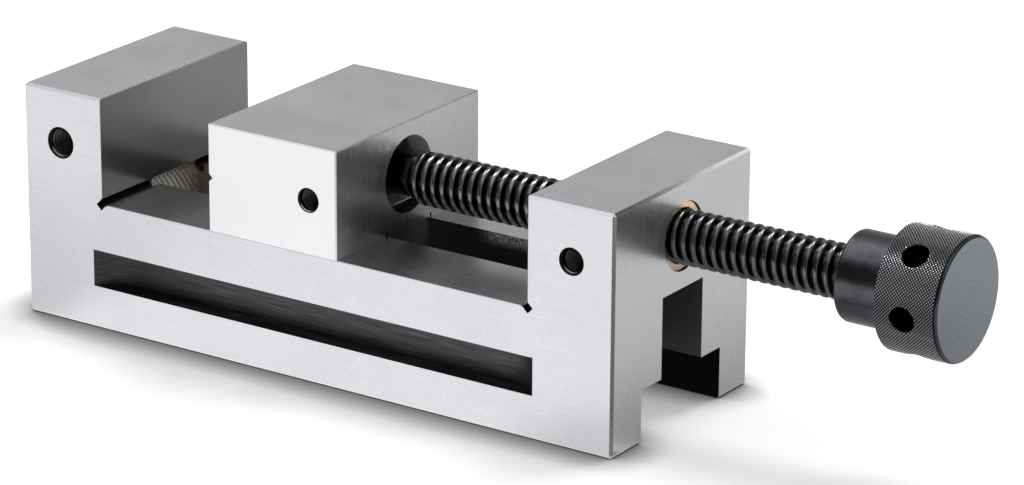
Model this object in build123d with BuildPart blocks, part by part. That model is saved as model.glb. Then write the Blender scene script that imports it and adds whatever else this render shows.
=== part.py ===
from build123d import *
from math import cos, radians, sin, sqrt
import os

# Precision screw vice, in millimetres. The origin is on the base, at mid width, below the middle of the fixed
# jaw. X runs from the fixed jaw to the knob, Y across the jaws, and Z up.

# Body
body_length = 255.0
body_width = 88.0
body_height = 88.0
slideway_height = 48.0
fixed_jaw_thickness = 35.0
nut_block_thickness = 35.0
screw_height_above_slideway = 20.0
outer_chamfer = 1.0
edge_break = 0.3
corner_relief_width = 3.0
corner_relief_depth = 1.85

# Guide slot and keeper channel, milled from the nut block end
guide_slot_width = 26.0
guide_slot_rise = 1.2
guide_slot_overrun = 1.7
guide_slot_corner_radius = 1.0
keeper_channel_width = 51.0
keeper_channel_height = 19.5
keeper_channel_corner_radius = 6.0

# Clamping slots along both sides, cut by a disc cutter that leaves a run-out at each end
side_slot_start = 30.5
side_slot_length = 192.0
side_slot_bottom = 16.0
side_slot_height = 14.0
side_slot_depth = 8.0
side_slot_cutter_radius = 20.0

# Tapped holes in the sides, drawn at the thread's full size with countersunk mouths
fixed_jaw_hole_from_end = 16.5
fixed_jaw_hole_radius = 5.0
fixed_jaw_hole_mouth_radius = 6.0
fixed_jaw_hole_depth = 22.0
lock_hole_from_end = 17.2
lock_hole_radius = 4.0
lock_hole_mouth_radius = 5.05
jaw_hole_from_rear = 12.0
jaw_hole_radius = 4.0
jaw_hole_mouth_radius = 4.6
jaw_hole_depth = 18.0

# Moving jaw, drawn as far open as in the photograph
jaw_opening = 48.8
moving_jaw_length = 56.0
moving_jaw_chamfer = 0.5
vee_groove_width = 4.0
tongue_side_clearance = 0.02
tongue_relief_width = 1.0
tongue_relief_depth = 1.8
slot_end_clearance = 1.0

# Keeper plate and its screws
keeper_side_clearance = 0.3
keeper_ledge_clearance = 0.03
keeper_thickness = 16.0
keeper_rear_setback = 2.0
keeper_chamfer = 1.0
keeper_screw_inset = 9.0
keeper_screw_spacing = 20.0
keeper_screw_head_radius = 6.5
keeper_screw_head_height = 8.0
keeper_screw_radius = 4.0
keeper_screw_thread_length = 16.0
keeper_screw_hole_spare = 4.0
keeper_screw_socket_width = 6.0
keeper_screw_socket_depth = 4.0
keeper_washer_thickness = 2.0
keeper_washer_radius = 6.35
keeper_washer_split = 1.0
keeper_counterbore_radius = 7.25
keeper_head_sink = 0.4
screw_clearance = 0.5
thread_play = 0.05

# Spindle nose, its bore in the moving jaw and the key that traps it
nose_bore_radius = 14.25
nose_collar_radius = 13.8
nose_collar_thickness = 7.0
nose_axial_play = 0.05
thrust_washer_thickness = 3.0
pilot_radius = 7.0
pilot_length = 10.0
pilot_chamfer = 1.0
pilot_bore_spare = 2.0
running_clearance = 0.05
key_setback = 3.0
key_thickness = 8.0
key_width = 20.0
key_thread_gap = 0.95
key_fit = 0.02

# Spindle and nut
thread_radius = 9.75
thread_end_chamfer = 1.0
exposed_spindle_length = 183.0
end_journal_radius = 7.5
end_journal_length = 20.0
nut_radius = 12.5
nut_flange_radius = 17.0
nut_flange_thickness = 6.0
nut_mouth_recess = 0.8
nut_fit = 0.02
lock_screw_length = 12.0
lock_screw_dog_radius = 2.75
lock_screw_dog_length = 1.8
lock_screw_socket_width = 5.0
lock_screw_socket_depth = 5.0

# Knob
knob_collar_radius = 16.0
knob_collar_length = 18.5
knob_collar_chamfer = 1.2
knob_head_radius = 22.0
knob_head_length = 24.0
knob_head_chamfer = 0.8
knob_rim_width = 1.2
knob_rim_depth = 0.5
knob_journal_spare = 1.0
tommy_hole_count = 6
tommy_hole_radius = 4.5
tommy_hole_depth = 12.0
tommy_hole_from_shoulder = 11.0
tommy_hole_first_angle = 8.8
set_screw_radius = 2.5
set_screw_angle = -20.0
set_screw_sink = 0.5
set_screw_socket_width = 3.0
set_screw_socket_depth = 3.0

# Places that follow from the sizes above
half_width = body_width / 2
left_end_x = -fixed_jaw_thickness / 2
jaw_face_x = fixed_jaw_thickness / 2
right_end_x = left_end_x + body_length
nut_block_face_x = right_end_x - nut_block_thickness
screw_height = slideway_height + screw_height_above_slideway
screw_axis = Axis((0, 0, screw_height), (1, 0, 0))
slot_end_x = jaw_face_x - guide_slot_overrun
slot_length = right_end_x - slot_end_x
moving_face_x = jaw_face_x + jaw_opening
moving_rear_x = moving_face_x + moving_jaw_length
tongue_front_x = moving_face_x + guide_slot_corner_radius - guide_slot_overrun + slot_end_clearance
tongue_bottom = keeper_channel_height - keeper_ledge_clearance
keeper_front_x = moving_face_x + keeper_channel_corner_radius - guide_slot_overrun + slot_end_clearance
keeper_rear_x = moving_rear_x - keeper_rear_setback
keeper_bottom = tongue_bottom - keeper_thickness
key_rear_x = moving_rear_x - key_setback
key_front_x = key_rear_x - key_thickness
key_top = screw_height - thread_radius - key_thread_gap
collar_rear_x = key_front_x - nose_axial_play
collar_front_x = collar_rear_x - nose_collar_thickness
washer_rear_x = collar_front_x - nose_axial_play
nose_bore_floor_x = washer_rear_x - thrust_washer_thickness
knob_start_x = moving_rear_x + exposed_spindle_length
knob_shoulder_x = knob_start_x + knob_collar_length
knob_end_x = knob_shoulder_x + knob_head_length
lock_hole_x = right_end_x - lock_hole_from_end
lock_screw_tip = nut_radius - lock_screw_dog_length


def near(value, target):
    """True where two lengths are the same to a thousandth of a millimetre."""
    return abs(value - target) < 0.001


def faces_shared(edge, ends, sides, levels):
    """How many of a block's outer faces an edge lies on: its ends in X, sides in Y and levels in Z."""
    middle = edge.center()
    on_end = any(near(middle.X, x) for x in ends)
    on_side = any(near(middle.Y, y) for y in sides)
    on_level = any(near(middle.Z, z) for z in levels)
    return on_end + on_side + on_level


def side_plane(x, side, offset, height):
    """A plane at offset from the middle, facing out of one side of the vice; side is -1 near and 1 far."""
    return Plane(origin=(x, side * offset, height), x_dir=(1, 0, 0), z_dir=(0, side, 0))


def hexagon_radius(width):
    """Corner radius of a hexagon socket from its width across flats."""
    return width / sqrt(3)


def save(part, name):
    """Label a finished piece and write it."""
    part.label = name
    export_step(part, f"parts/{name}.step")


os.makedirs("parts", exist_ok=True)

# Body: fixed jaw, slideway and nut block in one, with relief slots cut into the two ground corners
body_ends = (left_end_x, right_end_x)
body_sides = (-half_width, half_width)
with BuildPart() as body:
    with BuildSketch(Plane.XZ):
        with BuildLine():
            Polyline(
                (left_end_x, 0),
                (right_end_x, 0),
                (right_end_x, body_height),
                (nut_block_face_x, body_height),
                (nut_block_face_x, slideway_height),
                (jaw_face_x, slideway_height),
                (jaw_face_x, body_height),
                (left_end_x, body_height),
                close=True,
            )
        make_face()
    extrude(amount=half_width, both=True)
    body_levels = (0, body_height)
    outer_edges = body.edges().filter_by(lambda e: faces_shared(e, body_ends, body_sides, body_levels) == 2)
    chamfer(outer_edges, length=outer_chamfer)
    inner_ends = (jaw_face_x, nut_block_face_x)
    inner_levels = (slideway_height, body_height)
    inner_edges = body.edges().filter_by(lambda e: faces_shared(e, inner_ends, body_sides, inner_levels) == 2)
    chamfer(inner_edges.filter_by(lambda e: e.length > slideway_height / 2), length=edge_break)
    with BuildSketch(Plane.XZ):
        for corner_x, turn in ((jaw_face_x, 45), (nut_block_face_x, -45)):
            with Locations((corner_x, slideway_height)):
                Rectangle(2 * corner_relief_depth, corner_relief_width, rotation=turn)
    extrude(amount=half_width, both=True, mode=Mode.SUBTRACT)
    # Guide slot through the slideway and the nut block, then the wider keeper channel below it
    with BuildSketch(Plane.XY.offset(keeper_channel_height)) as guide_slot:
        with Locations((slot_end_x, 0)):
            Rectangle(slot_length, guide_slot_width, align=(Align.MIN, Align.CENTER))
        fillet(guide_slot.vertices().group_by(Axis.X)[0], guide_slot_corner_radius)
    extrude(amount=slideway_height + guide_slot_rise - keeper_channel_height, mode=Mode.SUBTRACT)
    with BuildSketch(Plane.XY) as keeper_channel:
        with Locations((slot_end_x, 0)):
            Rectangle(slot_length, keeper_channel_width, align=(Align.MIN, Align.CENTER))
        fillet(keeper_channel.vertices().group_by(Axis.X)[0], keeper_channel_corner_radius)
    extrude(amount=keeper_channel_height, mode=Mode.SUBTRACT)
    # Clamping slots, cut by a disc whose centre runs outside the side face
    cutter_y = half_width + side_slot_cutter_radius - side_slot_depth
    run_out = sqrt(side_slot_cutter_radius**2 - (side_slot_cutter_radius - side_slot_depth) ** 2)
    side_slot_middle_x = left_end_x + side_slot_start + side_slot_length / 2
    with BuildSketch(Plane.XY.offset(side_slot_bottom)):
        with Locations((side_slot_middle_x, -cutter_y), (side_slot_middle_x, cutter_y)):
            SlotCenterToCenter(side_slot_length - 2 * run_out, 2 * side_slot_cutter_radius)
    extrude(amount=side_slot_height, mode=Mode.SUBTRACT)
    # Stepped bore for the nut
    with BuildSketch(Plane.YZ.offset(nut_block_face_x)):
        with Locations((0, screw_height)):
            Circle(nut_radius + nut_fit)
    extrude(amount=nut_block_thickness, mode=Mode.SUBTRACT)
    with BuildSketch(Plane.YZ.offset(nut_block_face_x)):
        with Locations((0, screw_height)):
            Circle(nut_flange_radius + nut_fit)
    extrude(amount=nut_flange_thickness, mode=Mode.SUBTRACT)
    # Tapped holes in both sides of the fixed jaw and of the nut block
    fixed_jaw_hole_x = left_end_x + fixed_jaw_hole_from_end
    with Locations(*[side_plane(fixed_jaw_hole_x, side, half_width, screw_height) for side in (-1, 1)]):
        CounterSinkHole(fixed_jaw_hole_radius, fixed_jaw_hole_mouth_radius, depth=fixed_jaw_hole_depth)
    with Locations(*[side_plane(lock_hole_x, side, half_width, screw_height) for side in (-1, 1)]):
        CounterSinkHole(lock_hole_radius, lock_hole_mouth_radius, depth=half_width - nut_radius / 2)
save(body.part, "body")

# Moving jaw: the block stands on the slideway and its tongue reaches down through the guide slot
tongue_half_width = guide_slot_width / 2 - tongue_side_clearance
with BuildPart() as moving_jaw:
    with BuildSketch(Plane.XZ):
        with Locations((moving_face_x, slideway_height)):
            Rectangle(moving_jaw_length, body_height - slideway_height, align=(Align.MIN, Align.MIN))
    extrude(amount=half_width, both=True)
    jaw_edges = moving_jaw.edges().filter_by(lambda e: not near(e.center().Z, slideway_height))
    chamfer(jaw_edges, length=moving_jaw_chamfer)
    with BuildSketch(Plane.XZ):
        with Locations((moving_face_x, screw_height)):
            Rectangle(vee_groove_width / sqrt(2), vee_groove_width / sqrt(2), rotation=45)
    extrude(amount=half_width, both=True, mode=Mode.SUBTRACT)
    with BuildSketch(Plane.XY.offset(tongue_bottom)):
        with Locations((tongue_front_x, 0)):
            Rectangle(moving_rear_x - tongue_front_x, 2 * tongue_half_width, align=(Align.MIN, Align.CENTER))
    extrude(amount=slideway_height - tongue_bottom)
    # Saw-cut reliefs where the tongue's sides meet the underside, cut up into the block and into the tongue
    with BuildSketch(Plane.YZ.offset(moving_face_x)):
        for side in (-1, 1):
            with Locations((side * (tongue_half_width + tongue_relief_width / 2), slideway_height)):
                Rectangle(tongue_relief_width, tongue_relief_depth, align=(Align.CENTER, Align.MIN))
            with Locations((side * (tongue_half_width - tongue_relief_depth / 2), slideway_height)):
                Rectangle(tongue_relief_depth, tongue_relief_width, align=(Align.CENTER, Align.MAX))
    extrude(amount=moving_jaw_length, mode=Mode.SUBTRACT)
    # Bore for the spindle's nose, with a pilot bore beyond it
    with BuildSketch(Plane.YZ.offset(nose_bore_floor_x)):
        with Locations((0, screw_height)):
            Circle(nose_bore_radius)
    extrude(amount=moving_rear_x - nose_bore_floor_x, mode=Mode.SUBTRACT)
    with BuildSketch(Plane.YZ.offset(nose_bore_floor_x)):
        with Locations((0, screw_height)):
            Circle(pilot_radius + running_clearance)
    extrude(amount=-(pilot_length + pilot_bore_spare), mode=Mode.SUBTRACT)
    # Window for the key, up through the tongue into the bore
    with BuildSketch(Plane.XY.offset(tongue_bottom)):
        with Locations(((key_front_x + key_rear_x) / 2, 0)):
            Rectangle(key_thickness + 2 * key_fit, key_width + 2 * key_fit)
    extrude(amount=key_top - tongue_bottom, mode=Mode.SUBTRACT)
    # Tapped holes in both sides and in the tongue's foot
    jaw_hole_x = moving_rear_x - jaw_hole_from_rear
    with Locations(*[side_plane(jaw_hole_x, side, half_width, screw_height) for side in (-1, 1)]):
        CounterSinkHole(jaw_hole_radius, jaw_hole_mouth_radius, depth=jaw_hole_depth)
    keeper_screw_xs = [keeper_front_x + keeper_screw_inset + step * keeper_screw_spacing for step in (0, 1)]
    with BuildSketch(Plane.XY.offset(tongue_bottom)):
        with Locations(*[(x, 0) for x in keeper_screw_xs]):
            Circle(keeper_screw_radius + thread_play)
    extrude(amount=keeper_screw_thread_length + keeper_screw_hole_spare, mode=Mode.SUBTRACT)
save(moving_jaw.part, "moving_jaw")

# Keeper plate: bolted to the tongue's foot, it runs under the ledges and holds the jaw down
keeper_counterbore_depth = keeper_head_sink + keeper_screw_head_height + keeper_washer_thickness
with BuildPart() as keeper_plate:
    with BuildSketch(Plane.XY.offset(keeper_bottom)):
        with Locations((keeper_front_x, 0)):
            keeper_width = keeper_channel_width - 2 * keeper_side_clearance
            Rectangle(keeper_rear_x - keeper_front_x, keeper_width, align=(Align.MIN, Align.CENTER))
    extrude(amount=keeper_thickness)
    chamfer(keeper_plate.faces().sort_by(Axis.Z)[0].edges(), length=keeper_chamfer)
    chamfer(keeper_plate.edges().filter_by(Axis.Z), length=keeper_chamfer)
    with Locations(*[Plane(origin=(x, 0, keeper_bottom), z_dir=(0, 0, -1)) for x in keeper_screw_xs]):
        CounterBoreHole(keeper_screw_radius + screw_clearance, keeper_counterbore_radius,
                        keeper_counterbore_depth, depth=keeper_thickness)
save(keeper_plate.part, "keeper_plate")

# Two cap screws with spring washers fasten the keeper plate from below
washer_top = keeper_bottom + keeper_counterbore_depth
head_top = washer_top - keeper_washer_thickness
for x, place in zip(keeper_screw_xs, ("front", "rear")):
    with BuildPart() as keeper_washer:
        with BuildSketch(Plane.XY.offset(head_top)):
            with Locations((x, 0)):
                Circle(keeper_washer_radius)
                Circle(keeper_screw_radius + screw_clearance / 2, mode=Mode.SUBTRACT)
                with Locations((keeper_washer_radius, 0)):
                    Rectangle(keeper_washer_radius, keeper_washer_split, mode=Mode.SUBTRACT)
        extrude(amount=keeper_washer_thickness)
    save(keeper_washer.part, f"keeper_washer_{place}")

    with BuildPart() as keeper_screw:
        with BuildSketch(Plane.XY.offset(head_top - keeper_screw_head_height)):
            with Locations((x, 0)):
                Circle(keeper_screw_head_radius)
        extrude(amount=keeper_screw_head_height)
        with BuildSketch(Plane.XY.offset(head_top)):
            with Locations((x, 0)):
                Circle(keeper_screw_radius)
        extrude(amount=tongue_bottom - head_top + keeper_screw_thread_length)
        with BuildSketch(Plane.XY.offset(head_top - keeper_screw_head_height)):
            with Locations((x, 0)):
                RegularPolygon(hexagon_radius(keeper_screw_socket_width), 6)
        extrude(amount=keeper_screw_socket_depth, mode=Mode.SUBTRACT)
    save(keeper_screw.part, f"keeper_screw_{place}")

# Retaining key: pushed up through the tongue before the keeper plate goes on, it stands behind the collar
with BuildPart() as retaining_key:
    with BuildSketch(Plane.XY.offset(tongue_bottom)):
        with Locations(((key_front_x + key_rear_x) / 2, 0)):
            Rectangle(key_thickness, key_width)
    extrude(amount=key_top - tongue_bottom)
    chamfer(retaining_key.faces().sort_by(Axis.Z)[-1].edges(), length=edge_break)
save(retaining_key.part, "retaining_key")

# Thrust washer: takes the clamping force between the spindle's collar and the floor of the bore
with BuildPart() as thrust_washer:
    with BuildSketch(Plane.YZ.offset(nose_bore_floor_x)):
        with Locations((0, screw_height)):
            Circle(nose_collar_radius)
            Circle(pilot_radius + 2 * running_clearance, mode=Mode.SUBTRACT)
    extrude(amount=thrust_washer_thickness)
save(thrust_washer.part, "thrust_washer")

# Spindle: pilot, thrust collar, screw and the journal that carries the knob, turned from one bar
with BuildPart() as spindle:
    with BuildSketch(Plane.XZ):
        with BuildLine():
            pilot_tip_x = washer_rear_x - thrust_washer_thickness - pilot_length
            collar_level = screw_height + nose_collar_radius
            thread_level = screw_height + thread_radius
            Polyline(
                (pilot_tip_x, screw_height),
                (pilot_tip_x, screw_height + pilot_radius - pilot_chamfer),
                (pilot_tip_x + pilot_chamfer, screw_height + pilot_radius),
                (collar_front_x, screw_height + pilot_radius),
                (collar_front_x, collar_level),
                (collar_rear_x, collar_level),
                (collar_rear_x, thread_level),
                (knob_start_x - thread_end_chamfer, thread_level),
                (knob_start_x, thread_level - thread_end_chamfer),
                (knob_start_x, screw_height + end_journal_radius),
                (knob_start_x + end_journal_length, screw_height + end_journal_radius),
                (knob_start_x + end_journal_length, screw_height),
                close=True,
            )
        make_face()
    revolve(axis=screw_axis)
save(spindle.part, "spindle")

# Bronze nut: the flange bears on the inner face of the nut block, against the clamping force
nut_end_x = right_end_x - nut_mouth_recess
nut_bore_radius = thread_radius + running_clearance
with BuildPart() as bronze_nut:
    with BuildSketch(Plane.XZ):
        with BuildLine():
            bore_level = screw_height + nut_bore_radius
            flange_level = screw_height + nut_flange_radius
            Polyline(
                (nut_block_face_x, bore_level),
                (nut_block_face_x, flange_level),
                (nut_block_face_x + nut_flange_thickness, flange_level),
                (nut_block_face_x + nut_flange_thickness, screw_height + nut_radius),
                (nut_end_x, screw_height + nut_radius),
                (nut_end_x, bore_level),
                close=True,
            )
        make_face()
    revolve(axis=screw_axis)
    with Locations(*[side_plane(lock_hole_x, side, nut_radius, screw_height) for side in (-1, 1)]):
        Hole(lock_screw_dog_radius + thread_play, depth=lock_screw_dog_length)
save(bronze_nut.part, "bronze_nut")

# Dog point screws in the nut block's side holes stop the nut from turning
for side, place in ((-1, "near"), (1, "far")):
    with BuildPart() as nut_lock_screw:
        with BuildSketch(side_plane(lock_hole_x, side, lock_screw_tip, screw_height)):
            Circle(lock_screw_dog_radius)
        extrude(amount=lock_screw_dog_length + nut_fit)
        with BuildSketch(side_plane(lock_hole_x, side, nut_radius + nut_fit, screw_height)):
            Circle(lock_hole_radius - thread_play)
        extrude(amount=lock_screw_length)
        socket_floor = nut_radius + nut_fit + lock_screw_length - lock_screw_socket_depth
        with BuildSketch(side_plane(lock_hole_x, side, socket_floor, screw_height)):
            RegularPolygon(hexagon_radius(lock_screw_socket_width), 6)
        extrude(amount=lock_screw_socket_depth, mode=Mode.SUBTRACT)
    save(nut_lock_screw.part, f"nut_lock_screw_{place}")

# Knob: collar and head turned in one, bored for the spindle's journal and drilled for a tommy bar
tommy_hole_x = knob_shoulder_x + tommy_hole_from_shoulder
tommy_planes = []
for turn in range(tommy_hole_count):
    angle = radians(tommy_hole_first_angle + turn * 360 / tommy_hole_count)
    outward = (0, cos(angle), sin(angle))
    mouth = (tommy_hole_x, knob_head_radius * cos(angle), screw_height + knob_head_radius * sin(angle))
    tommy_planes.append(Plane(origin=mouth, x_dir=(1, 0, 0), z_dir=outward))
set_screw_x = knob_start_x + knob_collar_length / 2
set_screw_direction = (0, cos(radians(set_screw_angle)), sin(radians(set_screw_angle)))


def set_screw_plane(radius):
    """A plane across the set screw's axis, at a distance from the spindle's axis."""
    y, z = radius * set_screw_direction[1], screw_height + radius * set_screw_direction[2]
    return Plane(origin=(set_screw_x, y, z), x_dir=(1, 0, 0), z_dir=set_screw_direction)


with BuildPart() as knob:
    with BuildSketch(Plane.XZ):
        with BuildLine():
            collar_top = screw_height + knob_collar_radius
            head_top_z = screw_height + knob_head_radius
            rim_start_x = knob_end_x - knob_rim_width
            journal_hole_end_x = knob_start_x + end_journal_length + knob_journal_spare
            Polyline(
                (knob_start_x, screw_height + end_journal_radius),
                (knob_start_x, collar_top - knob_collar_chamfer),
                (knob_start_x + knob_collar_chamfer, collar_top),
                (knob_shoulder_x, collar_top),
                (knob_shoulder_x, head_top_z - knob_head_chamfer),
                (knob_shoulder_x + knob_head_chamfer, head_top_z),
                (rim_start_x, head_top_z),
                (rim_start_x, head_top_z - knob_rim_depth),
                (knob_end_x, head_top_z - knob_rim_depth),
                (knob_end_x, screw_height),
                (journal_hole_end_x, screw_height),
                (journal_hole_end_x, screw_height + end_journal_radius),
                close=True,
            )
        make_face()
    revolve(axis=screw_axis)
    with Locations(*tommy_planes):
        Hole(tommy_hole_radius, depth=tommy_hole_depth)
    with Locations(set_screw_plane(knob_collar_radius)):
        Hole(set_screw_radius, depth=knob_collar_radius - end_journal_radius)
save(knob.part, "knob")

# Set screw: holds the knob on the journal
with BuildPart() as knob_set_screw:
    set_screw_length = knob_collar_radius - end_journal_radius - set_screw_sink
    with BuildSketch(set_screw_plane(end_journal_radius)):
        Circle(set_screw_radius - thread_play)
    extrude(amount=set_screw_length)
    with BuildSketch(set_screw_plane(end_journal_radius + set_screw_length - set_screw_socket_depth)):
        RegularPolygon(hexagon_radius(set_screw_socket_width), 6)
    extrude(amount=set_screw_socket_depth, mode=Mode.SUBTRACT)
save(knob_set_screw.part, "knob_set_screw")
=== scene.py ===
from math import cos, pi, radians, sin

import bmesh
import bpy
from mathutils import Matrix, Vector


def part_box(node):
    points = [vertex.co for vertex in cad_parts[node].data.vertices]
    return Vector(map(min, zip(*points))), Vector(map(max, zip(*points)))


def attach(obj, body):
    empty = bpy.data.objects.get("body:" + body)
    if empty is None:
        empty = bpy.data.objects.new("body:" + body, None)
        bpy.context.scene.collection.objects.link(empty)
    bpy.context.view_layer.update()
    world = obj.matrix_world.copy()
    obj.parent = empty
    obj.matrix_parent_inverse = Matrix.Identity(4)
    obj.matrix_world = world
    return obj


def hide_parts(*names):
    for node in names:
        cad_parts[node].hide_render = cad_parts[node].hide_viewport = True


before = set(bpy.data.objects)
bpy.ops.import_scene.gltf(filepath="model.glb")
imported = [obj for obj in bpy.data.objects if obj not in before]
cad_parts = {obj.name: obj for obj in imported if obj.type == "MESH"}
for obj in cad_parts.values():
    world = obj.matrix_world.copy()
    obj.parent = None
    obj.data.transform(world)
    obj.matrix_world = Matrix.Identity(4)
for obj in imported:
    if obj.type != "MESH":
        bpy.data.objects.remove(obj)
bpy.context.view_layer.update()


# Body: one block of hardened steel with the fixed jaw, the slideway and the nut block. The outer faces are
# ground with a fine straight grain. The milled slots, the keeper channel and the bores are painted dark as
# shade.
class Wire:
    """One output of a shader node. Sums, products and powers of wires add their Math nodes."""

    def __init__(self, nodes, socket):
        self.nodes = nodes
        self.socket = socket

    def math(self, operation, *values):
        return self.nodes.node("ShaderNodeMath", {"operation": operation}, dict(enumerate(values)))

    def output(self, name):
        return Wire(self.nodes, self.socket.node.outputs[name])

    def __add__(self, other):
        return self.math("ADD", self, other)

    def __radd__(self, other):
        return self.math("ADD", other, self)

    def __sub__(self, other):
        return self.math("SUBTRACT", self, other)

    def __rsub__(self, other):
        return self.math("SUBTRACT", other, self)

    def __mul__(self, other):
        return self.math("MULTIPLY", self, other)

    def __rmul__(self, other):
        return self.math("MULTIPLY", other, self)

    def __pow__(self, other):
        return self.math("POWER", self, other)

    def __abs__(self):
        return self.math("ABSOLUTE", self)

    def larger(self, other):
        return self.math("MAXIMUM", self, other)

    def sine(self):
        return self.math("SINE", self)


class Nodes:
    """The shader nodes of a material or of the world."""

    def __init__(self, tree):
        self.tree = tree

    def node(self, kind, settings, inputs, output=0):
        made = self.tree.nodes.new(kind)
        for name, value in settings.items():
            setattr(made, name, value)
        for key, value in inputs.items():
            if isinstance(value, Wire):
                self.tree.links.new(value.socket, made.inputs[key])
            else:
                made.inputs[key].default_value = value
        return Wire(self, made.outputs[output]) if made.outputs else None

    def mix(self, mask, first, second):
        """The first colour where the mask is 0 and the second where it is 1."""
        first, second = (one if isinstance(one, Wire) else (*one, 1.0) for one in (first, second))
        return self.node("ShaderNodeMix", {"data_type": "RGBA"}, {0: mask, 6: first, 7: second}, 2)

    def noise(self, vector, scale, detail):
        return self.node("ShaderNodeTexNoise", {}, {"Vector": vector, "Scale": scale, "Detail": detail})

    def vector(self, x, y, z):
        return self.node("ShaderNodeCombineXYZ", {}, {0: x, 1: y, 2: z})

    def grey(self, value):
        """A colour with the same red, green and blue."""
        return self.vector(value, value, value)


class Finish(Nodes):
    """A metal finish: one shader, and the place on the vice in millimetres that its patterns follow."""

    def __init__(self, name, constants):
        self.material = bpy.data.materials.new(name)
        self.material.use_nodes = True
        super().__init__(self.material.node_tree)
        self.shader = self.tree.nodes["Principled BSDF"]
        for socket, value in constants.items():
            self.shader.inputs[socket].default_value = value
        metres = self.node("ShaderNodeTexCoord", {}, {}, "Object")
        self.place = self.node("ShaderNodeVectorMath", {"operation": "SCALE"}, {0: metres, "Scale": 1000.0})
        self.x = self.node("ShaderNodeSeparateXYZ", {}, {0: self.place})
        self.y = self.x.output("Y")
        self.z = self.x.output("Z")

    def paint(self, mask, colour):
        """Lay a colour over the finish's own where the mask is 1."""
        self.colour = self.mix(mask, self.colour, colour)

    def feed(self, socket, wire):
        self.tree.links.new(wire.socket, self.shader.inputs[socket])

    def relief(self, height, depth):
        """Let a height pattern tilt the light; depth is the pattern's, in metres."""
        self.feed("Normal", self.node("ShaderNodeBump", {}, {"Height": height, "Distance": depth}))


def fade(value, start, end):
    """0 at start and 1 at end, rising smoothly between."""
    return value.nodes.node("ShaderNodeMapRange", {"interpolation_type": "SMOOTHSTEP"},
                            {"Value": value, "From Min": start, "From Max": end})


def up_to(value, high, soft=0.04):
    """1 up to high, and 0 above."""
    return fade(value, high + soft, high)


def within(value, low, high, soft=0.04):
    """1 from low to high, and 0 outside."""
    return fade(value, low - soft, low) * up_to(value, high, soft)


def inside(across, up, radius):
    """1 inside a circle whose middle is where both values are 0."""
    return up_to((across * across + up * up) ** 0.5, radius)


def ends(node):
    """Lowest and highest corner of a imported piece, in millimetres."""
    return [[round(value * 1000, 3) for value in corner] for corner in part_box(node)]


def dress(node, finish):
    """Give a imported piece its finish."""
    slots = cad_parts[node].data.materials
    slots.clear()
    slots.append(finish.material)


def ground_steel(name, colour):
    """Ground steel, whose grain runs along each face."""
    steel = Finish(name, {"Metallic": 1.0})
    normal = steel.node("ShaderNodeTexCoord", {}, {}, "Normal")
    facing = steel.node("ShaderNodeSeparateXYZ", {}, {0: normal})
    steel.end_on = abs(facing)
    steel.side_on = abs(facing.output("Y"))
    steel.level = abs(facing.output("Z"))
    across = steel.end_on * steel.y + steel.side_on * steel.z + steel.level * steel.y
    along = steel.end_on * steel.z + (steel.side_on + steel.level) * steel.x
    grain = steel.noise(steel.vector(along * 0.035, across * 1.6, steel.end_on * 7.0), 1.0, 4.0)
    lines = steel.noise(steel.vector(along * 0.09, across * 5.5, steel.level * 9.0), 1.0, 2.0)
    cloud = steel.noise(steel.place, 0.03, 3.0)
    speckle = steel.noise(steel.place, 0.9, 3.0)
    steel.grain = grain * 0.6 + lines * 0.4
    tone = steel.grain * 0.4 + speckle * 0.25 + cloud * 0.35
    dark = [0.91 * part for part in colour]
    light = [1.04 * part for part in colour]
    steel.colour = steel.mix(fade(tone, 0.32, 0.66), dark, light)
    steel.sheen = 0.17 + 0.1 * lines + 0.1 * cloud
    return steel


steel_colour = (0.70, 0.706, 0.73)
(left_end, _, _), (body_end, half_width, body_height) = ends("body")
(_, _, nut_under), (_, flange_radius, nut_top) = ends("bronze_nut")
screw_height = (nut_under + nut_top) / 2
jaw_thickness, slideway, relief_reach = 35.0, 48.0, 2.5
fixed_jaw_face, nut_block_face = left_end + jaw_thickness, body_end - jaw_thickness
stop_hole_x, stop_hole_mouth, lock_hole_x, lock_hole_mouth = -1.0, 6.0, 220.3, 5.05
slot_left, slot_right, slot_low, slot_high, slot_floor = 13.0, 205.0, 16.0, 30.0, 36.0
guide_half_width, guide_end, tunnel_top = 13.0, 15.8, 49.2
channel_half_width, channel_top = 25.5, 19.5

# The milled hollows, each found by its place in the block. A mask reaches a little past its own walls.
body_steel = ground_steel("body_ground_steel", steel_colour)
x, y, z = body_steel.x, body_steel.y, body_steel.z
wide = abs(y)
under_skin = fade(wide, half_width - 0.02, half_width - 0.1)
below_slideway = fade(z, slideway - 0.02, slideway - 0.08)
in_fixed_jaw = fade(x, fixed_jaw_face - 0.04, fixed_jaw_face - 0.1)
in_nut_block = fade(x, nut_block_face + 0.04, nut_block_face + 0.1)
behind_guide_end = within(x, guide_end - 0.1, body_end - 0.08)
clamp_slot = (within(wide, slot_floor - 2.0, half_width - 0.1)
              * within(z, slot_low - 0.05, slot_high + 0.05) * within(x, slot_left - 0.1, slot_right + 0.1))
guide_slot = (up_to(wide, guide_half_width + 0.04) * within(z, channel_top - 0.1, tunnel_top + 0.1)
              * below_slideway.larger(in_nut_block) * behind_guide_end)
channel = up_to(wide, channel_half_width + 0.04) * within(z, 0.08, channel_top + 0.04) * behind_guide_end
end_wall = (within(x, guide_end - 0.8, fixed_jaw_face - 0.06) * up_to(wide, guide_half_width)
            * within(z, channel_top - 0.1, slideway + 2.2))
stop_hole = inside(x - stop_hole_x, z - screw_height, stop_hole_mouth + 0.02) * under_skin
lock_hole = inside(x - lock_hole_x, z - screw_height, lock_hole_mouth + 0.02) * under_skin
nut_bore = inside(y, z - screw_height, flange_radius + 0.1)
nut_bore = nut_bore * within(x, nut_block_face + 0.1, body_end - 0.1)


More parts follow.
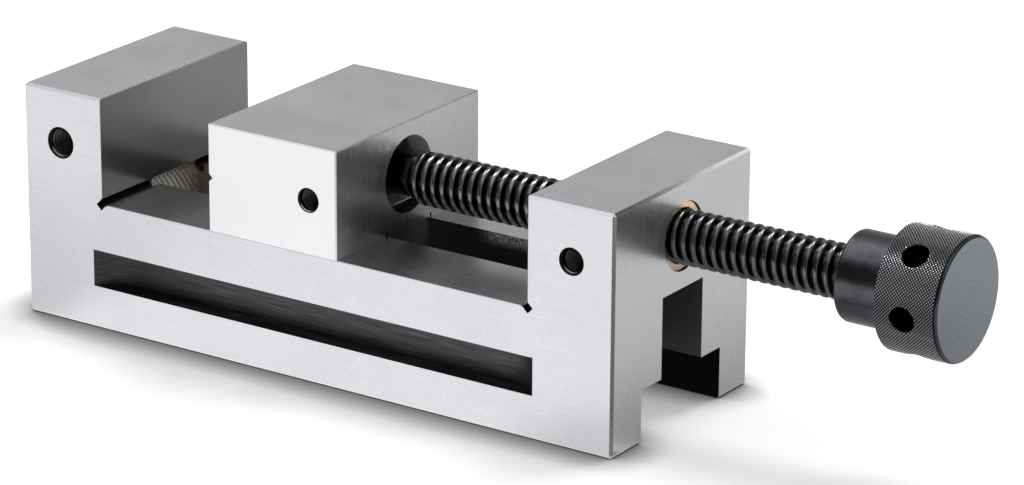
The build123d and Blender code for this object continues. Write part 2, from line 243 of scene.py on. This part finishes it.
def relief_slot(jaw_face, in_jaw):
    """1 on the walls of the small slot where a jaw's face meets the slideway."""
    return (within(x, jaw_face - relief_reach, jaw_face + relief_reach)
            * within(z, slideway - relief_reach, slideway + relief_reach) * in_jaw.larger(below_slideway))


relief_slots = (relief_slot(fixed_jaw_face, in_fixed_jaw).larger(relief_slot(nut_block_face, in_nut_block))
                * under_skin * (1.0 - end_wall))
black = stop_hole.larger(lock_hole).larger(relief_slots).larger(nut_bore * 0.9)
unground = clamp_slot.larger(guide_slot).larger(black)

# The clamping face and the slideway are ground finer. Their colour is painted darker as shade, more so
# under the moving jaw toward the fixed jaw, and most on the clamping face
clamping_face = (within(x, fixed_jaw_face - 0.05, fixed_jaw_face + 0.05) * fade(z, slideway, slideway + 0.1)
                 * fade(z, body_height - 0.3, body_height - 0.4))
slide_face = (within(z, slideway - 0.02, slideway + 0.02)
              * within(x, fixed_jaw_face + 0.1, nut_block_face - 0.1))
worked = clamping_face.larger(slide_face) * body_steel.level.larger(body_steel.end_on)
shade_toward_fixed_jaw = fade(x, 122.0, 90.0)
worked_shade_colour = body_steel.mix(shade_toward_fixed_jaw, (0.55, 0.555, 0.575), (0.48, 0.47, 0.47))
worked_shade_colour = body_steel.mix(clamping_face, worked_shade_colour, (0.40, 0.395, 0.385))
body_steel.paint(worked, worked_shade_colour)

# The clamp slots are scratched along, with painted shade that deepens to the left. The guide slot has
# painted shade between the jaws, so it is darker there than under the nut block, and painted light near its
# end wall.
scratches = body_steel.noise(body_steel.vector(x * 0.05, y * 0.25, z * 4.0), 1.0, 5.0)
clamp_shaded_colour = body_steel.mix(fade(scratches, 0.35, 0.75), (0.04, 0.037, 0.04), (0.135, 0.13, 0.14))
clamp_shaded_colour = body_steel.mix(0.6 * fade(x, 70.0, 20.0), clamp_shaded_colour, (0.015, 0.014, 0.014))
body_steel.paint(clamp_slot, clamp_shaded_colour)
guide_colour = body_steel.mix(scratches, (0.10, 0.09, 0.084), (0.20, 0.18, 0.17))
# Painted shade between the jaws, and painted light near the end wall
shade_between_jaws = fade(x, nut_block_face + 2.5, nut_block_face - 4.5)
guide_colour = body_steel.mix(0.5 * shade_between_jaws, guide_colour, (0.02, 0.018, 0.017))
light_near_end_wall = fade(x, guide_end + 18.2, guide_end + 8.2)
guide_colour = body_steel.mix(light_near_end_wall, guide_colour, (0.34, 0.29, 0.27))
body_steel.paint(guide_slot, guide_colour)
# The keeper channel is painted near black as shade
body_steel.paint(channel, (0.008, 0.007, 0.007))

# The slot's end wall shows the cutter's slanting steps, painted in pale and dark bands as painted light,
# with painted shade toward its far side. The top of its far wall has a speckled strip of painted light
waves = (y + z * 0.7) * 2.6 + body_steel.noise(body_steel.place, 0.6, 2.0) * 2.0
cutter_steps = fade(waves.sine(), -0.6, 0.7)
step_light_colour = body_steel.mix(cutter_steps, (0.42, 0.39, 0.35), (0.98, 0.96, 0.90))
step_light_colour = body_steel.mix(0.8 * fade(y, -8.0, 13.0), step_light_colour, (0.22, 0.18, 0.16))
body_steel.paint(end_wall, step_light_colour)
speckle = body_steel.noise(body_steel.place, 1.6, 4.0)
painted_light_strip = (within(y, guide_half_width - 0.1, guide_half_width + 0.1) * fade(z, 42.0, 46.5)
               * fade(z, slideway - 0.04, slideway - 0.1) * fade(x, 142.0, 152.0)
               * fade(x, nut_block_face + 0.1, nut_block_face - 0.1) * fade(speckle, 0.35, 0.6))
body_steel.paint(painted_light_strip, (0.86, 0.81, 0.77))

# The holes, the relief slots and the recess round the nut are painted black as shade, but for a painted
# glint:
# a thin bright line low in the countersink
body_steel.paint(black, (0.012, 0.011, 0.011))
painted_glint = (stop_hole.larger(lock_hole) * within(wide, half_width - 1.05, half_width - 0.8, 0.12)
               * fade(z, screw_height - 2.0, screw_height - 4.0))
body_steel.paint(painted_glint, (0.36, 0.34, 0.33))

# The chamfers at the right end are smoother than the faces, and the two upright ones a little warmer
chamfered = (fade(body_steel.end_on * body_steel.side_on.larger(body_steel.level), 0.3, 0.45)
             * fade(x, body_end - 2.2, body_end - 2.1))
body_steel.paint(chamfered * fade(body_steel.side_on, 0.5, 0.6), (0.68, 0.65, 0.60))
body_steel.feed("Base Color", body_steel.colour)
roughness = body_steel.sheen + unground * 0.12 + end_wall * 0.3 - clamping_face * 0.05
body_steel.feed("Roughness", roughness * (1.0 - 0.82 * chamfered))
haze = (0.09 * fade(x, body_end - 0.2, body_end - 0.05) + 0.06 * clamping_face
        + 0.25 * clamp_slot.larger(guide_slot) + 0.55 * end_wall + 0.6 * painted_light_strip)
body_steel.feed("Metallic", 1.0 - haze)
body_steel.relief(body_steel.grain * (1.0 - 0.7 * chamfered) + unground * scratches * 3.0
                  + end_wall * cutter_steps * 30.0, 0.000012)
dress("body", body_steel)


# Threads of the tapped holes: cut in the sides of both jaws and of the nut block, and painted near black as
# shade inside the holes. Each is turn after turn of a sharp ridge on the wall of the drilled hole.
def finished(bm, name, crease):
    """Turn a bmesh into a piece with its faces outwards, smooth but for edges over the crease angle."""
    bmesh.ops.recalc_face_normals(bm, faces=bm.faces[:])
    mesh = bpy.data.meshes.new(name)
    bm.to_mesh(mesh)
    bm.free()
    mesh.polygons.foreach_set("use_smooth", [True] * len(mesh.polygons))
    mesh.set_sharp_from_angle(angle=radians(crease))
    piece = bpy.data.objects.new(name, mesh)
    bpy.context.scene.collection.objects.link(piece)
    return piece


def ridge(bm, section, pitch, turns, steps):
    """Wind a closed section of (x, radius) points, in millimetres, into a right-hand thread round X."""
    corners = [bm.verts.new((px / 1000, 0.0, radius / 1000)) for px, radius in section]
    edges = [bm.edges.new(pair) for pair in zip(corners, corners[1:] + corners[:1])]
    bmesh.ops.spin(bm, geom=corners + edges, cent=(0.0, 0.0, 0.0), axis=(1.0, 0.0, 0.0),
                   dvec=(pitch / steps / 1000, 0.0, 0.0), angle=2 * pi * turns, steps=steps * turns)
    bmesh.ops.holes_fill(bm, edges=[edge for edge in bm.edges if edge.is_boundary], sides=len(section))


shaded_thread = Finish("thread_shaded_black", {"Metallic": 1.0, "Roughness": 0.32})
thread_mottle = shaded_thread.noise(shaded_thread.place, 0.9, 3.0)
shaded_thread.feed("Base Color", shaded_thread.mix(thread_mottle, (0.014, 0.013, 0.012), (0.08, 0.072, 0.068)))
shaded_thread.relief(thread_mottle, 0.00003)
jaw_hole_x, thread_mouth, hole_thread_steps = 110.3, 42.4, 40
# Name, body, place along the vice, radius of the wall and of the ridge's tip, pitch, and inner end
tapped_holes = (
    ("fixed_jaw_thread", "vice_body", stop_hole_x, 5.0, 4.25, 1.5, 22.6),
    ("lock_hole_thread", "vice_body", lock_hole_x, 4.0, 3.4, 1.25, 25.2),
    ("moving_jaw_thread", "jaw_carriage", jaw_hole_x, 4.0, 3.4, 1.25, 26.6),
)
for name, carrier, hole_x, wall, tip, pitch, inner_end in tapped_holes:
    section = ((0.0, wall + 0.03), (0.42 * pitch, tip), (0.58 * pitch, tip), (0.94 * pitch, wall + 0.03))
    for side, word in ((-1, "near"), (1, "far")):
        bm = bmesh.new()
        ridge(bm, section, pitch, int((thread_mouth - inner_end) / pitch), hole_thread_steps)
        outward = Matrix.Rotation(side * pi / 2, 4, "Z")
        there = Matrix.Translation((hole_x / 1000, side * inner_end / 1000, screw_height / 1000))
        bmesh.ops.transform(bm, matrix=there @ outward, verts=bm.verts[:])
        thread = finished(bm, f"{name}_{word}", 30)
        thread.data.materials.append(shaded_thread.material)
        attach(thread, carrier)

# Moving jaw: a second block of the same steel, ground all over, with the V groove for round bars in its
# face and the bore for the spindle's nose in its back. The tongue below it runs in the guide slot.
(jaw_front, _, _), (jaw_back, _, _) = ends("moving_jaw")
jaw_hole_mouth, nose_bore_radius, nose_bore_floor = 4.6, 14.3, 89.0
jaw_steel = ground_steel("jaw_ground_steel", steel_colour)
x, y, z = jaw_steel.x, jaw_steel.y, jaw_steel.z
wide = abs(y)
under_skin = fade(wide, half_width - 0.02, half_width - 0.1)
jaw_hole = inside(x - jaw_hole_x, z - screw_height, jaw_hole_mouth + 0.02) * under_skin
nose_bore = (inside(y, z - screw_height, nose_bore_radius) * fade(x, jaw_back - 0.04, jaw_back - 0.12)
             * fade(x, nose_bore_floor - 1.0, nose_bore_floor))
tongue_slots = (within(wide, 11.0, 14.1) * within(z, slideway - 1.1, slideway + 1.85)
                * within(x, jaw_front + 0.6, jaw_back - 0.05))
# The sides are painted lighter, as painted light
jaw_steel.paint(jaw_steel.side_on * 0.8, (0.87, 0.87, 0.88))

# Painted shade darkens the lower near part of the back
low_back_shade = (fade(x, jaw_back - 0.1, jaw_back - 0.05) * fade(z, 74.0, 60.0) * fade(y, 15.0, -10.0)
            * fade(y, -47.0, -28.0))
jaw_steel.paint(0.6 * low_back_shade, (0.10, 0.095, 0.095))

# The bore is painted a mottled brown as painted reflection, with painted light high on its far wall and
# painted shade, near black, in its lower half
bore_reflection_mottle = jaw_steel.noise(jaw_steel.place, 0.12, 3.0)
bore_colour = jaw_steel.mix(fade(bore_reflection_mottle, 0.4, 0.6), (0.05, 0.045, 0.04), (0.42, 0.39, 0.33))
painted_light_wall = nose_bore * fade(x, 112.0, 115.0) * fade(y, 3.0, 9.0) * fade(z, 67.0, 74.0)
jaw_steel.paint(nose_bore, bore_colour)
jaw_steel.paint(painted_light_wall, (0.95, 0.93, 0.82))
jaw_steel.paint(nose_bore * fade(z, 68.0, 60.0), (0.02, 0.018, 0.017))
# The screw hole and the tongue's slots are painted black as shade, and a painted glint lies low in the
# hole's countersink
black = jaw_hole.larger(tongue_slots) * (1.0 - nose_bore)
jaw_steel.paint(black, (0.015, 0.013, 0.012))
painted_glint = (jaw_hole * within(wide, half_width - 0.65, half_width - 0.45, 0.1)
               * fade(z, screw_height - 1.5, screw_height - 3.0))
jaw_steel.paint(painted_glint, (0.55, 0.53, 0.51))
jaw_steel.feed("Base Color", jaw_steel.colour)
jaw_steel.feed("Roughness", jaw_steel.sheen + (black + nose_bore) * 0.1)
jaw_steel.feed("Metallic", 1.0 - 0.07 * jaw_steel.end_on - 0.4 * nose_bore - 0.45 * painted_light_wall)
jaw_steel.relief(jaw_steel.grain, 0.000012)
dress("moving_jaw", jaw_steel)

# Keeper plate, its two cap screws and the retaining key: the plate and the key are ground on their working
# faces. The screws and their spring washers are blackened, as are the nut's lock screws and the set screw.
(_, _, plate_under), (_, _, plate_top) = ends("keeper_plate")
keeper_screw_places, counterbore_radius = (80.6, 100.6), 7.3
plate_steel = ground_steel("keeper_ground_steel", (0.62, 0.62, 0.62))
x, y, z = plate_steel.x, plate_steel.y, plate_steel.z
in_plate = fade(z, plate_under + 0.13, plate_under + 0.73) * fade(z, plate_top - 0.07, plate_top - 0.17)
front_hole, rear_hole = (inside(x - place, y, counterbore_radius) for place in keeper_screw_places)
# The counterbores are painted dark as shade
plate_steel.paint(front_hole.larger(rear_hole) * in_plate, (0.03, 0.028, 0.027))
plate_steel.feed("Base Color", plate_steel.colour)
plate_steel.feed("Roughness", plate_steel.sheen + 0.06)
plate_steel.relief(plate_steel.grain, 0.000015)
dress("keeper_plate", plate_steel)
key_steel = ground_steel("key_ground_steel", (0.5, 0.49, 0.48))
# The key's top is scratched and painted bright as painted light, and its ends are painted dark as shade
scratches = key_steel.noise(key_steel.vector(key_steel.x * 3.0, key_steel.y * 0.6, key_steel.z), 1.0, 4.0)
lit_top_colour = key_steel.mix(fade(scratches, 0.4, 0.6), (0.3, 0.28, 0.26), (0.95, 0.92, 0.88))
key_steel.paint(key_steel.level, lit_top_colour)
key_steel.paint(fade(key_steel.end_on, 0.8, 0.95), (0.03, 0.027, 0.025))
key_steel.feed("Base Color", key_steel.colour)
key_steel.feed("Roughness", key_steel.sheen)
key_steel.feed("Metallic", 1.0 - 0.6 * key_steel.level)
key_steel.relief(key_steel.grain, 0.000015)
dress("retaining_key", key_steel)


def blackened_steel(name, dark, light, roughness):
    """Black oxide on steel: a thin smoky skin, a little lighter where the part was handled."""
    steel = Finish(name, {"Metallic": 1.0})
    smoke = steel.noise(steel.place, 0.22, 4.0)
    steel.fine = steel.noise(steel.place, 2.5, 3.0)
    steel.colour = steel.mix(fade(smoke * 0.7 + steel.fine * 0.3, 0.35, 0.7), dark, light)
    steel.feed("Roughness", roughness + 0.12 * (steel.fine - 0.5))
    return steel


screw_black = blackened_steel("screw_black_oxide", (0.03, 0.03, 0.032), (0.075, 0.075, 0.08), 0.38)
screw_black.feed("Base Color", screw_black.colour)
screw_black.relief(screw_black.fine, 0.00001)
for screw in ("keeper_screw_front", "keeper_screw_rear", "keeper_washer_front", "keeper_washer_rear",
              "nut_lock_screw_near", "nut_lock_screw_far", "knob_set_screw"):
    dress(screw, screw_black)


# Spindle: a single-start trapezoidal screw, 20 mm by 4 mm, rolled and blackened. Its collar turns in the
# moving jaw, and its plain end goes into the knob.
def turned(bm, profile, axis_height, steps):
    """Spin an open profile of (x, radius) points, in millimetres, right round the screw's axis."""
    points = [bm.verts.new((px / 1000, 0.0, (axis_height + radius) / 1000)) for px, radius in profile]
    edges = [bm.edges.new(pair) for pair in zip(points, points[1:])]
    bmesh.ops.spin(bm, geom=points + edges, cent=(0.0, 0.0, axis_height / 1000), axis=(1.0, 0.0, 0.0),
                   dvec=(0.0, 0.0, 0.0), angle=2 * pi, steps=steps, use_merge=True)
    bmesh.ops.remove_doubles(bm, verts=bm.verts[:], dist=1e-6)


def from_axis(finish):
    """Distance from the screw's axis."""
    return (finish.y * finish.y + (finish.z - screw_height) ** 2.0) ** 0.5


thread_pitch, crest, root, turn_steps = 4.0, 9.75, 7.5, 56
(nose_tip, _, _), (spindle_end, _, _) = ends("spindle")
(knob_start, _, _), (knob_end, _, _) = ends("knob")
pilot_radius, collar_front, collar_back, collar_radius = 7.0, 104.25, 111.25, 13.8
neck_end, neck_radius, journal_radius = 126.2, 7.8, 7.5
spindle_black = blackened_steel("spindle_black_oxide", (0.045, 0.044, 0.044), (0.10, 0.10, 0.102), 0.12)
worn = fade(from_axis(spindle_black), 9.1, crest) * (0.35 + 0.4 * fade(spindle_black.x, 240.0, 200.0))
spindle_black.paint(worn, (0.26, 0.26, 0.265))
spindle_black.feed("Base Color", spindle_black.colour)
streaks = spindle_black.noise(
    spindle_black.vector(spindle_black.x * 4.5, spindle_black.y * 0.35, spindle_black.z * 0.35), 1.0, 3.0)
spindle_black.relief(spindle_black.fine * 0.5 + streaks, 0.00007)

# One turn is spun, and then doubled along the axis until it reaches past both ends
one_turn = ((0.0, root), (1.0, root), (1.22, 7.66), (1.62, 9.12), (1.84, 9.52), (2.16, 9.71), (2.6, crest),
            (3.04, 9.71), (3.36, 9.52), (3.58, 9.12), (3.98, 7.66), (thread_pitch, root))
first_turn = collar_back - 2 * thread_pitch
bm = bmesh.new()
points = [bm.verts.new(((first_turn + px) / 1000, 0.0, (screw_height + radius) / 1000))
          for px, radius in one_turn]
edges = [bm.edges.new(pair) for pair in zip(points, points[1:])]
bmesh.ops.spin(bm, geom=points + edges, cent=(0.0, 0.0, screw_height / 1000), axis=(1.0, 0.0, 0.0),
               dvec=(thread_pitch / turn_steps / 1000, 0.0, 0.0), angle=2 * pi, steps=turn_steps)
turns = 1
while first_turn + turns * thread_pitch < knob_start + 2 * thread_pitch:
    copy = bmesh.ops.duplicate(bm, geom=bm.verts[:] + bm.edges[:] + bm.faces[:])
    more = [piece for piece in copy["geom"] if isinstance(piece, bmesh.types.BMVert)]
    bmesh.ops.translate(bm, vec=(turns * thread_pitch / 1000, 0.0, 0.0), verts=more)
    turns *= 2
bmesh.ops.remove_doubles(bm, verts=bm.verts[:], dist=2e-6)
for end_x, direction in ((neck_end - 0.3, -1.0), (knob_start + 0.02, 1.0)):
    cut = bmesh.ops.bisect_plane(bm, geom=bm.verts[:] + bm.edges[:] + bm.faces[:],
                                 plane_co=(end_x / 1000, 0.0, 0.0), plane_no=(direction, 0.0, 0.0),
                                 clear_outer=True)
    rim = [piece for piece in cut["geom_cut"] if isinstance(piece, bmesh.types.BMEdge)]
    bmesh.ops.holes_fill(bm, edges=rim, sides=0)
# The thread starts in a short cone, beyond a plain neck that is a little thicker than the thread's root
for vert in bm.verts:
    arm = Vector((0.0, vert.co.y, vert.co.z - screw_height / 1000))
    cone = (neck_radius - 0.2 + 0.5 * max(0.0, vert.co.x * 1000 - neck_end)) / 1000
    if arm.length > cone:
        vert.co += arm * (cone / arm.length - 1.0)
nose = ((nose_tip, 0.0), (nose_tip, pilot_radius - 1.0), (nose_tip + 1.0, pilot_radius),
        (collar_front, pilot_radius), (collar_front, collar_radius - 0.3),
        (collar_front + 0.3, collar_radius), (collar_back - 0.3, collar_radius),
        (collar_back, collar_radius - 0.3), (collar_back, neck_radius),
        (neck_end, neck_radius), (neck_end + 0.2, neck_radius - 0.2), (neck_end + 0.2, 0.0))
turned(bm, nose, screw_height, 64)
journal = ((knob_start, 0.0), (knob_start, journal_radius), (spindle_end - 1.0, journal_radius),
           (spindle_end, journal_radius - 1.0), (spindle_end, 0.0))
turned(bm, journal, screw_height, 48)
spindle = finished(bm, "spindle_screw", 32)
spindle.data.materials.append(spindle_black.material)
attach(spindle, "spindle_unit")
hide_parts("spindle")

# Nut and thrust washer: turned bronze. The nut's flange bears on the nut block, and its mouths are
# countersunk well past the thread, which leaves the golden ring round the screw.
bronze = Finish("turned_bronze", {"Metallic": 1.0})
patina = bronze.noise(bronze.place, 0.35, 4.0)
golden = bronze.mix(fade(patina, 0.3, 0.6), (0.68, 0.48, 0.26), (1.0, 0.85, 0.54))
# The lower part of the bronze is painted darker, as painted shade
bronze.feed("Base Color", bronze.mix(fade(bronze.z, 64.0, 57.0), golden, (0.52, 0.37, 0.29)))
bronze.feed("Roughness", 0.24 + 0.16 * patina)
bronze.relief(fade((from_axis(bronze) * 9.0 + patina * 3.0).sine(), -1.0, 1.0), 0.00001)
dress("thrust_washer", bronze)
(nut_front, _, _), (nut_back, _, _) = ends("bronze_nut")
flange_back, nut_radius, nut_bore_radius, nut_ridge_tip = 208.5, 12.5, 9.9, 7.9
bm = bmesh.new()
nut_profile = ((nut_front, nut_bore_radius + 1.5), (nut_front, flange_radius - 0.3),
               (nut_front + 0.3, flange_radius), (flange_back, flange_radius), (flange_back, nut_radius),
               (nut_back - 0.25, nut_radius), (nut_back, nut_radius - 0.25),
               (nut_back, nut_bore_radius + 0.2), (nut_back - 0.2, nut_bore_radius),
               (nut_front + 1.5, nut_bore_radius), (nut_front, nut_bore_radius + 1.5))
turned(bm, nut_profile, screw_height, 96)
# The nut's thread fills the screw's grooves, so it starts a whole number of turns from the screw's own
inner = bmesh.new()
section = ((3.98 - thread_pitch, nut_bore_radius + 0.04), (4.02 - thread_pitch, nut_ridge_tip),
           (0.98, nut_ridge_tip), (1.55, nut_bore_radius + 0.04))
nut_turns = 7
thread_start = first_turn + thread_pitch * round((nut_front + 2.0 - first_turn) / thread_pitch)
ridge(inner, section, thread_pitch, nut_turns, turn_steps)
there = Matrix.Translation((thread_start / 1000, 0.0, screw_height / 1000))
bmesh.ops.transform(inner, matrix=there, verts=inner.verts[:])
nut_thread = finished(inner, "nut_thread", 32)
nut = finished(bm, "nut_turned", 32)
for piece in (nut, nut_thread):
    piece.data.materials.append(bronze.material)
    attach(piece, "vice_body")
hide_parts("bronze_nut")

# Knob: turned in one piece and blackened, with a diamond knurl on its head. Six holes take a tommy bar, and
# a set screw in the collar holds the knob on the spindle.
shoulder, head_radius, knob_collar_radius, socket_end = 323.8, 22.0, 16.0, 326.3
knurl_count, knurl_depth = 108, 0.36
knurl_pitch = 2 * pi * head_radius / knurl_count
knurl_start, knurl_end = shoulder + 0.7, knob_end - 1.15
knurl_rows = 2 * round((knurl_end - knurl_start) / (knurl_pitch * 0.92))
row_step = (knurl_end - knurl_start) / knurl_rows
outline = [(knob_start, journal_radius), (knob_start, 14.9), (knob_start + 0.35, 15.65),
           (knob_start + 1.1, knob_collar_radius), (322.9, knob_collar_radius), (323.5, 16.25),
           (shoulder, 16.8), (shoulder, 20.9), (shoulder + 0.3, 21.5)]
outline += [(knurl_start + row * row_step, head_radius) for row in range(knurl_rows + 1)]
outline += [(knob_end - 1.0, 21.6), (knob_end - 0.55, 21.6), (knob_end - 0.12, 21.2), (knob_end, 20.9),
            (knob_end, 0.0), (socket_end, 0.0), (socket_end, journal_radius), (knob_start, journal_radius)]
bm = bmesh.new()
turned(bm, outline, screw_height, 2 * knurl_count)
# Every second point of the head is pressed in, and the low points are joined, which leaves diamonds
low = []
middle = Vector((0.0, 0.0, screw_height / 1000))
for vert in bm.verts:
    arm = Vector((0.0, vert.co.y, vert.co.z - middle.z))
    row = (vert.co.x * 1000 - knurl_start) / row_step
    if arm.length * 1000 < head_radius - 0.01 or not -0.01 < row < knurl_rows + 0.01:
        continue
    turn = round(arm.yz.angle_signed(Vector((1.0, 0.0))) / (pi / knurl_count))
    if (round(row) + turn) % 2:
        vert.co -= arm.normalized() * knurl_depth / 1000
        low.append(vert)
bmesh.ops.connect_verts(bm, verts=low)
knob = finished(bm, "knob_knurled", 20)

# The holes for the bar are drilled with one countersinking cutter, turned to six places
bar_hole_x, bar_hole_angle, bar_hole_floor, bar_hole_radius = 334.8, 8.8, 9.8, 4.5
cutter = ((bar_hole_floor, 0.0), (bar_hole_floor, bar_hole_radius), (20.9, bar_hole_radius), (21.6, 4.75),
          (22.4, 5.35), (22.4, 0.0))
bm = bmesh.new()
turned(bm, cutter, 0.0, 40)
first_hole = (Matrix.Translation((bar_hole_x / 1000, 0.0, screw_height / 1000))
              @ Matrix.Rotation(radians(bar_hole_angle), 4, "X") @ Matrix.Rotation(pi / 2, 4, "Z"))
bmesh.ops.transform(bm, matrix=first_hole, verts=bm.verts[:])
bmesh.ops.spin(bm, geom=bm.verts[:] + bm.edges[:] + bm.faces[:], cent=middle, axis=(1.0, 0.0, 0.0),
               dvec=(0.0, 0.0, 0.0), angle=radians(300), steps=5, use_duplicate=True)
drills = finished(bm, "tommy_drills", 30)
drilled = knob.modifiers.new("tommy_holes", "BOOLEAN")
drilled.object = drills
drilled.solver = "EXACT"
bpy.context.view_layer.update()
whole = bpy.data.meshes.new_from_object(knob.evaluated_get(bpy.context.evaluated_depsgraph_get()))
knob.modifiers.clear()
knob.data = whole
bpy.data.objects.remove(drills)

# The knurl's tips are worn bright, its pits and the ring by the end face are painted dark as shade, and the
# end face shows the rings of the turning tool
knob_black = blackened_steel("knob_black_oxide", (0.065, 0.067, 0.074), (0.10, 0.104, 0.113), 0.25)
x = knob_black.x
out = from_axis(knob_black)
on_knurl = within(x, knurl_start, knurl_end)
pit = fade(out, head_radius - 0.2, head_radius - 0.34) * on_knurl
tip = fade(out, head_radius - 0.26, head_radius - 0.04) * on_knurl
groove = within(x, knob_end - 1.15, knob_end - 0.75) * fade(out, 20.6, 20.8)
end_face = fade(x, knob_end - 0.05, knob_end - 0.01)
bar_holes = fade(out, 21.4, 21.2) * within(x, shoulder + 0.2, knob_end - 0.4)
rings = knob_black.noise(knob_black.vector(out * 1.6, 0.0, 0.0), 1.0, 4.0)
knob_black.paint(pit, (0.025, 0.025, 0.028))
knob_black.paint(tip, (0.70, 0.70, 0.73))
knob_black.paint(groove, (0.012, 0.012, 0.013))
knob_black.paint(end_face, knob_black.mix(rings, (0.17, 0.183, 0.20), (0.38, 0.405, 0.44)))
knob_black.paint(bar_holes, (0.10, 0.10, 0.105))
knob_black.feed("Base Color", knob_black.colour)
knob_black.relief(knob_black.fine * (1.0 - end_face) * 0.5 + rings * end_face * 9.0, 0.00001)
knob.data.materials.clear()
knob.data.materials.append(knob_black.material)
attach(knob, "spindle_unit")
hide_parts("knob")

# Studio: white paper under the vice, a room that shows only in the metal, a small soft box high at the left
# and a larger one high behind, and the camera where the photograph was taken from.
floor_mesh = bpy.data.meshes.new("floor")
bm = bmesh.new()
bmesh.ops.create_grid(bm, x_segments=1, y_segments=1, size=4.0)
bm.to_mesh(floor_mesh)
bm.free()
floor = bpy.data.objects.new("floor", floor_mesh)
bpy.context.scene.collection.objects.link(floor)
floor.location.z = -0.0001
paper = bpy.data.materials.new("studio_paper")
paper.use_nodes = True
paper.node_tree.nodes.clear()
sweep = Nodes(paper.node_tree)
rays = sweep.node("ShaderNodeLightPath", {}, {}, "Is Camera Ray")
seen = rays.larger(rays.output("Is Transmission Ray"))
mirrored = rays.output("Is Glossy Ray")
floor_place = sweep.node("ShaderNodeTexCoord", {}, {}, "Object")
floor_x = sweep.node("ShaderNodeSeparateXYZ", {}, {0: floor_place})
floor_y = floor_x.output("Y")
# The steel mirrors the paper: bright in front of the vice, duller in front of the knob and behind. The
# line of paper that the upright chamfer at the right front mirrors is darker still.
before = fade(floor_y, -0.02, -0.046)
past_end = fade(floor_x, 0.237, 0.28)
behind_glow = (0.44 + 0.31 * fade(floor_x, 0.235, 0.325) - 0.08 * fade(floor_y, 0.06, 0.0)
               - 0.3 * fade(floor_y, 0.21, 0.1) * fade(floor_x, 0.36, 0.42)
               + (0.06 - 0.16 * fade(floor_y, 0.21, 0.17)) * fade(floor_x, 0.2, 0.15))
before_glow = (1.14 - 0.5 * past_end
               - 0.28 * (1.0 - past_end) * fade(floor_y, -0.11, -0.06) * fade(floor_x, 0.18, 0.22)
               - 0.25 * fade(floor_y, -0.23, -0.07) * fade(floor_x, 0.005, -0.02))
chamfer_line = (fade(abs(floor_y + 0.672 * floor_x - 0.1153), 0.014, 0.006)
                * fade(floor_x, 0.236, 0.24))
before_glow = before_glow * (1.0 - 0.7 * chamfer_line)
mirror_glow = behind_glow + before * (before_glow - behind_glow)
shade = sweep.node("ShaderNodeAmbientOcclusion", {"samples": 16}, {"Distance": 0.016}, "AO") ** 1.9
lit = sweep.node("ShaderNodeBsdfDiffuse", {}, {"Color": sweep.grey(0.9 * shade)})
white = sweep.node("ShaderNodeEmission", {},
                   {"Color": sweep.grey(seen * 1.75 * shade + mirrored * mirror_glow)})
surface = sweep.node("ShaderNodeMixShader", {}, {0: seen * 0.2 + mirrored, 1: lit, 2: white})
sweep.node("ShaderNodeOutputMaterial", {}, {"Surface": surface})
floor_mesh.materials.append(paper)

world = bpy.data.worlds.new("studio_world")
bpy.context.scene.world = world
world.use_nodes = True
world.node_tree.nodes.clear()
sky = Nodes(world.node_tree)
rays = sky.node("ShaderNodeLightPath", {}, {}, "Is Camera Ray")
scattered = rays.output("Is Diffuse Ray")
plain = rays.larger(rays.output("Is Transmission Ray")).larger(scattered)
heading = sky.node("ShaderNodeTexCoord", {}, {}, "Generated")
height = sky.node("ShaderNodeSeparateXYZ", {}, {0: heading}).output("Z")


def glow(direction, start, end):
    """A bright patch of the room. Start and end are cosines of the angle from its middle."""
    cosine = sky.node("ShaderNodeVectorMath", {"operation": "DOT_PRODUCT"}, {0: heading, 1: direction}, 1)
    return fade(cosine, start, end)


# A pale ceiling, a wall behind at the left, a bright patch over the near left and a weak one at the right
# front. The small patch behind at the right is what the top chamfer of the nut block mirrors.
room = (0.1 + 0.7 * fade(height, 0.55, 0.95) + 0.355 * glow((-0.56, 0.83, 0.0), 0.5, 0.95)
        + 0.6 * glow((-0.52, -0.14, 0.84), 0.9, 0.985) + 0.28 * glow((0.72, -0.54, 0.44), 0.55, 0.95)
        + 0.95 * glow((0.32, 0.8, 0.5), 0.978, 0.992) * fade(height, 0.5, 0.492))
strength = plain + (1.0 - plain) * room - 0.42 * scattered
air = sky.node("ShaderNodeBackground", {}, {"Color": sky.grey(strength)})
sky.node("ShaderNodeOutputWorld", {}, {"Surface": air})


def soft_box(name, place, width, power):
    """A square lamp that faces the middle of the vice."""
    lamp = bpy.data.lights.new(name, "AREA")
    lamp.size = width
    lamp.energy = power
    holder = bpy.data.objects.new(name, lamp)
    bpy.context.scene.collection.objects.link(holder)
    holder.location = place
    holder.rotation_euler = (Vector(place) - Vector((0.11, 0.0, 0.04))).to_track_quat("Z", "Y").to_euler()


soft_box("overhead_box", (-0.55, 0.28, 1.0), 0.36, 4.0)
soft_box("rear_box", (0.3, 0.5, 1.25), 0.5, 9.0)

# The camera's angles, its place from the middle of the vice and its lens, all solved from the photograph
azimuth, elevation, roll = radians(33.8995), radians(19.4913), radians(0.4241)
vice_middle, to_right, upward, distance = Vector((0.110, 0.0, 0.044)), 0.046985, -0.004113, 1.630286
sensor_width, focal_length = 36.0, 159.88
back = Vector((sin(azimuth) * cos(elevation), -cos(azimuth) * cos(elevation), sin(elevation)))
right = Vector((cos(azimuth), sin(azimuth), 0.0))
up = back.cross(right)
right, up = right * cos(roll) + up * sin(roll), up * cos(roll) - right * sin(roll)
lens = bpy.data.cameras.new("photo_view")
lens.sensor_width = sensor_width
lens.lens = focal_length
camera = bpy.data.objects.new("photo_view", lens)
camera.matrix_world = Matrix((right, up, back)).transposed().to_4x4()
camera.location = vice_middle + right * to_right + up * upward + back * distance
bpy.context.scene.collection.objects.link(camera)
bpy.context.scene.camera = camera
bpy.context.scene.view_settings.view_transform = "Standard"
